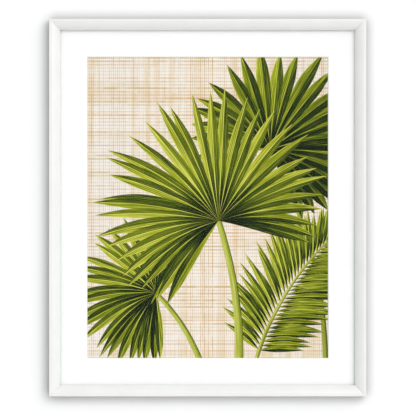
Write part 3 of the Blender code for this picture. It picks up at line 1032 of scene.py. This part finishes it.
def paint_strips(mesh, strips, flat, triangles):
    """Write for each corner of the face where it lies on its strip and which strip that is."""
    corners = np.array(triangles)
    centroids = flat[corners].mean(axis=1)
    owner = topmost(strips, centroids)
    blade = np.zeros((len(mesh.loops), 3), np.float32)
    ink = np.zeros((len(mesh.loops), 3), np.float32)
    for index, strip in enumerate(strips):
        mine = np.flatnonzero(owner == index)
        loops = (mine[:, None] * 3 + np.arange(3)).ravel()
        along, aside = strip.locate(flat[corners[mine].ravel()])
        width = np.maximum(strip.width_at(along), LEAST_WIDTH)
        blade[loops, 0] = along / strip.length
        blade[loops, 1] = np.clip(aside / width, -1.0, 1.0)
        blade[loops, 2] = width
        ink[loops] = (strip.kind, strip.tone, index)
    for name, values in (("blade", blade), ("ink", ink)):
        layer = mesh.attributes.new(name, "FLOAT_VECTOR", "CORNER")
        layer.data.foreach_set("vector", values.ravel())


def lay_out(mesh, face_count, half):
    """A flat layout for baking: the face at the left, and the back and the rim beside it."""
    beside = (half[0] / half[1] + BACK_LAYOUT_GAP, 0.0)
    layer = mesh.uv_layers.new(name="OFBake")
    for polygon in mesh.polygons:
        for loop in polygon.loop_indices:
            x, _, z = mesh.vertices[mesh.loops[loop].vertex_index].co / MM
            place = (half + (x, z)) / (2 * half[1])
            if polygon.index >= face_count:
                place = place * BACK_LAYOUT_SCALE + beside
            layer.data[loop].uv = place


def bare_paper():
    """The print's back and edges: uncoated paper with its fibres."""
    made = Finish("print_paper", roughness=0.85)
    fibre = made.noise(made.coordinates((700.0, 700.0, 1100.0)), 1.0, 3.0, 0.6)
    made.paint(fibre, (0.3, 232, 228, 216), (0.7, 242, 239, 230))
    made.bump(fibre, 0.02 * MM)
    return made.material


def threads(made, across, along, pitch, seed):
    """Printed threads side by side: how strong each point is, and a random number for each thread."""
    drift = made.join(made.times(across, 9.0), made.times(along, 16.0), seed)
    moved = made.times(made.noise(drift), THREAD_DRIFT, plus=across)
    cells = made.times(moved, 1 / pitch, plus=seed)
    index = made.math("FLOOR", cells)
    aside = made.math("ABSOLUTE", made.math("SUBTRACT", made.math("FRACT", cells), 0.5))
    width = made.times(made.random_of(index), 0.20, plus=0.10)
    narrow = made.math("SUBTRACT", width, THREAD_EDGE)
    wide = made.math("ADD", width, THREAD_EDGE)
    line = made.span(aside, narrow, wide, 1.0, 0.0)
    brush = made.join(made.times(index, 3.7), made.times(along, 30.0), seed)
    dry = made.span(made.noise(brush, 1.0, 3.0, 0.6), 0.30, 0.60, 0.35, 1.0)
    shade = made.times(made.random_of(made.math("ADD", index, 139.7)), 0.75, plus=0.25)
    strength = made.times(line, made.times(dry, shade))
    return strength, made.random_of(made.math("ADD", index, 71.3))


def woven_ground(made, x, z):
    """A plain weave of fine tan and rust threads with broad pale bands, on cream."""
    upright, upright_hue = threads(made, x, z, UPRIGHT_THREADS, 17.0)
    level, level_hue = threads(made, z, x, LEVEL_THREADS, 43.0)
    wash = made.noise(made.coordinates((9.0, 9.0, 9.0)), 1.0, 3.0, 0.55)
    cream = made.tones(wash, (0.30, 233, 229, 222), (0.70, 239, 235, 229))
    bands = []
    for across, along, scale, seed, edge, depth in (
        (x, z, 52.0, 5.0, 0.54, 0.42),
        (z, x, 47.0, 9.0, 0.55, 0.32),
    ):
        drawn = made.join(made.times(across, scale), made.times(along, 1.2), seed)
        bands.append(made.span(made.noise(drawn, detail=1.0), edge, edge + 0.04, 0.0, depth))
    banded = made.mix(made.math("ADD", *bands), cream, srgb(222, 205, 172))
    tan = made.tones(upright_hue, (0.3, 200, 168, 112), (0.8, 208, 158, 94))
    rust = made.tones(level_hue, (0.3, 206, 158, 98), (0.8, 192, 164, 108))
    crossed = made.mix(made.times(upright, 0.88), banded, tan)
    return made.mix(made.times(level, 0.82), crossed, rust)


def leaf_green(made, along, across, aside, tone, layer):
    """Greens of a leaflet: a dark half and a lit half, fine veins, a pale rib and a lime edge."""
    streak = made.join(made.times(along, 3.0), made.times(aside, 0.5), layer)
    line = made.join(made.times(along, 4.0), made.times(aside, 1.6), layer)
    fold = made.span(across, -0.10, 0.10, -0.24, 0.12)
    root = made.span(along, 0.05, 0.50, 1.0, 0.0)
    parts = (
        (fold, 1.0),
        (made.times(fold, root), 1.2),
        (made.span(along, 0.0, 0.40, -0.16, 0.0), 1.0),
        (made.math("SUBTRACT", made.noise(streak), 0.5), 0.9),
        (made.math("SUBTRACT", made.noise(line, 1.0, 3.0, 0.6), 0.5), 1.5),
        (made.math("SINE", made.times(aside, math.tau / VEIN_PITCH)), 0.10),
        (made.span(made.math("ABSOLUTE", aside), 0.30, 0.75, 0.34, 0.0), 1.0),
        (made.span(across, 0.80, 0.96, 0.0, 0.32), 1.0),
    )
    shade = tone
    for part, weight in parts:
        shade = made.times(part, weight, plus=shade)
    return made.tones(
        shade,
        (0.00, 14, 28, 6),
        (0.18, 32, 48, 8),
        (0.38, 76, 92, 12),
        (0.54, 118, 130, 20),
        (0.72, 148, 157, 26),
        (0.90, 184, 188, 54),
        (1.00, 214, 212, 100),
    )


def stem_green(made, along, across, aside, tone, layer):
    """Greens of a stem: round, with long streaks and a lit side."""
    streak = made.join(made.times(along, 3.0), made.times(aside, 0.9), layer)
    shade = made.times(across, 0.30, plus=made.times(made.times(across, across), -0.30, plus=0.30))
    shade = made.times(made.noise(streak, 1.0, 3.0, 0.6), 1.5, plus=shade)
    shade = made.math("ADD", shade, made.math("SUBTRACT", tone, 1.02))
    stops = ((0.05, 52, 66, 14), (0.35, 116, 128, 28), (0.65, 166, 174, 56), (0.95, 208, 208, 112))
    return made.tones(shade, *stops)


def palm_ink():
    """The printed face: palm leaves in layers of green over a weave of fine threads."""
    made = Finish("palm_ink", roughness=0.62)
    x, _, z = made.split(made.coordinates())
    along, across, width = made.split(made.attribute("blade"))
    kind, tone, layer = made.split(made.attribute("ink"))
    blade = (along, across, made.times(across, width), tone, layer)
    is_stem = made.math("GREATER_THAN", kind, (LEAF + STEM) / 2)
    plants = made.mix(is_stem, leaf_green(made, *blade), stem_green(made, *blade))
    growing = made.math("GREATER_THAN", kind, (GROUND + LEAF) / 2)
    made.set("Base Color", made.mix(growing, woven_ground(made, x, z), plants))
    grain = made.noise(made.coordinates((1500.0, 1500.0, 1500.0)))
    made.roughen(grain, 0.3, 0.7, 0.56, 0.70)
    made.set("Specular IOR Level", 0.1)
    made.bump(grain, 0.012 * MM)
    return made.material


def make_stage(layout):
    """A white wall behind the frame and a pale floor.

    The wall is open where the frame hides it, so that the frame's back is lit in views from behind.
    """
    right, top = layout.width / 2 - OPENING_INSET, layout.height / 2 - OPENING_INSET
    bottom = OPENING_LOW_INSET - layout.height / 2
    opening = [(-right, bottom), (right, bottom), (right, top), (-right, top)]
    upright = Matrix.Rotation(math.pi / 2, 4, "X")
    stage_sheet("wall", 0.91, Matrix.Translation((0.0, WALL_GAP, layout.centre.z)) @ upright, opening)
    stage_sheet("floor", 0.86, Matrix.Translation((0.0, 0.0, FLOOR_LEVEL)))


def stage_sheet(name, white, place, opening=None):
    """A wide sheet that shows from its front alone, with a painted contact shade that darkens it close to the
    frame.
    """
    finish = Finish(f"stage_{name}", roughness=0.9)
    # Painted shade: ambient occlusion darkens the sheet's colour within the reach of the frame
    near = finish.node("ShaderNodeAmbientOcclusion", "AO", {"Distance": CONTACT_REACH}, samples=8)
    painted_shade_level = white * CONTACT_SHADE
    finish.set("Base Color", finish.mix(near, (painted_shade_level, painted_shade_level, painted_shade_level, 1.0), (white, white, white, 1.0)))
    finish.set("Specular IOR Level", 0.0)
    clear = finish.node("ShaderNodeBsdfTransparent", "BSDF")
    behind = finish.node("ShaderNodeNewGeometry", "Backfacing")
    finish.show_mix(behind, finish.shader.outputs["BSDF"], clear)
    bm = bmesh.new()
    rim = [bm.verts.new((x * STAGE_SIZE / 2, z * STAGE_SIZE / 2, 0.0)) for x, z in CORNERS]
    if opening:
        join_loops(bm, rim, [bm.verts.new((x, z, 0.0)) for x, z in opening])
    else:
        bm.faces.new(rim)
    mesh = bpy.data.meshes.new(name)
    bm.to_mesh(mesh)
    bm.free()
    mesh.materials.append(finish.material)
    made = new_object(name, mesh)
    made.matrix_world = place


def make_light():
    """One broad soft key from the upper right, a soft light on the back, and a pale room all round."""
    for name, toward, strength, width in (
        ("key", (0.50, -0.80, 0.46), 1.30, 50.0),
        ("back_light", (-0.30, 0.90, 0.35), 1.7, 30.0),
    ):
        light = bpy.data.lights.new(name, "SUN")
        light.energy = strength
        light.angle = math.radians(width)
        made = new_object(name, light)
        made.rotation_euler = Vector(toward).to_track_quat("Z", "Y").to_euler()
    world = bpy.data.worlds.new("studio")
    world.use_nodes = True
    background = world.node_tree.nodes["Background"]
    background.inputs["Color"].default_value = (0.985, 0.992, 1.0, 1.0)
    background.inputs["Strength"].default_value = 0.76
    bpy.context.scene.world = world
    bpy.context.scene.view_settings.view_transform = "Standard"


def make_camera(layout):
    """A long lens straight in front, framed as in the photograph."""
    camera = bpy.data.cameras.new("camera")
    camera.lens = LENS
    camera.sensor_width = SENSOR_WIDTH
    made = new_object("camera", camera)
    front = layout.back - layout.rail_depth
    distance = FIELD_WIDTH * LENS / SENSOR_WIDTH
    made.location = (AIM_RIGHT, front - distance, layout.centre.z - AIM_DOWN)
    made.rotation_euler = (math.pi / 2, 0.0, 0.0)
    bpy.context.scene.camera = made


def main():
    layout = Layout()
    make_camera(layout)
    make_light()
    make_stage(layout)
    make_rails(layout)
    make_mat()
    make_print()
    glass = eased_slab("glazing", GLASS_ARRIS, "picture_glass", [clear_glass(layout)])
    stand_for(glass, "glass", "glazing")
    board = eased_slab("backing_board", BOARD_ARRIS, "back_board", [hardboard()])
    stand_for(board, "hardboard", "backing_board")
    tape = linen()
    for end in ("left", "right"):
        refinish(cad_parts[f"hinge_tape_{end}"], tape)
    make_buttons(layout)
    make_hanger()
    make_bumpers()


main()
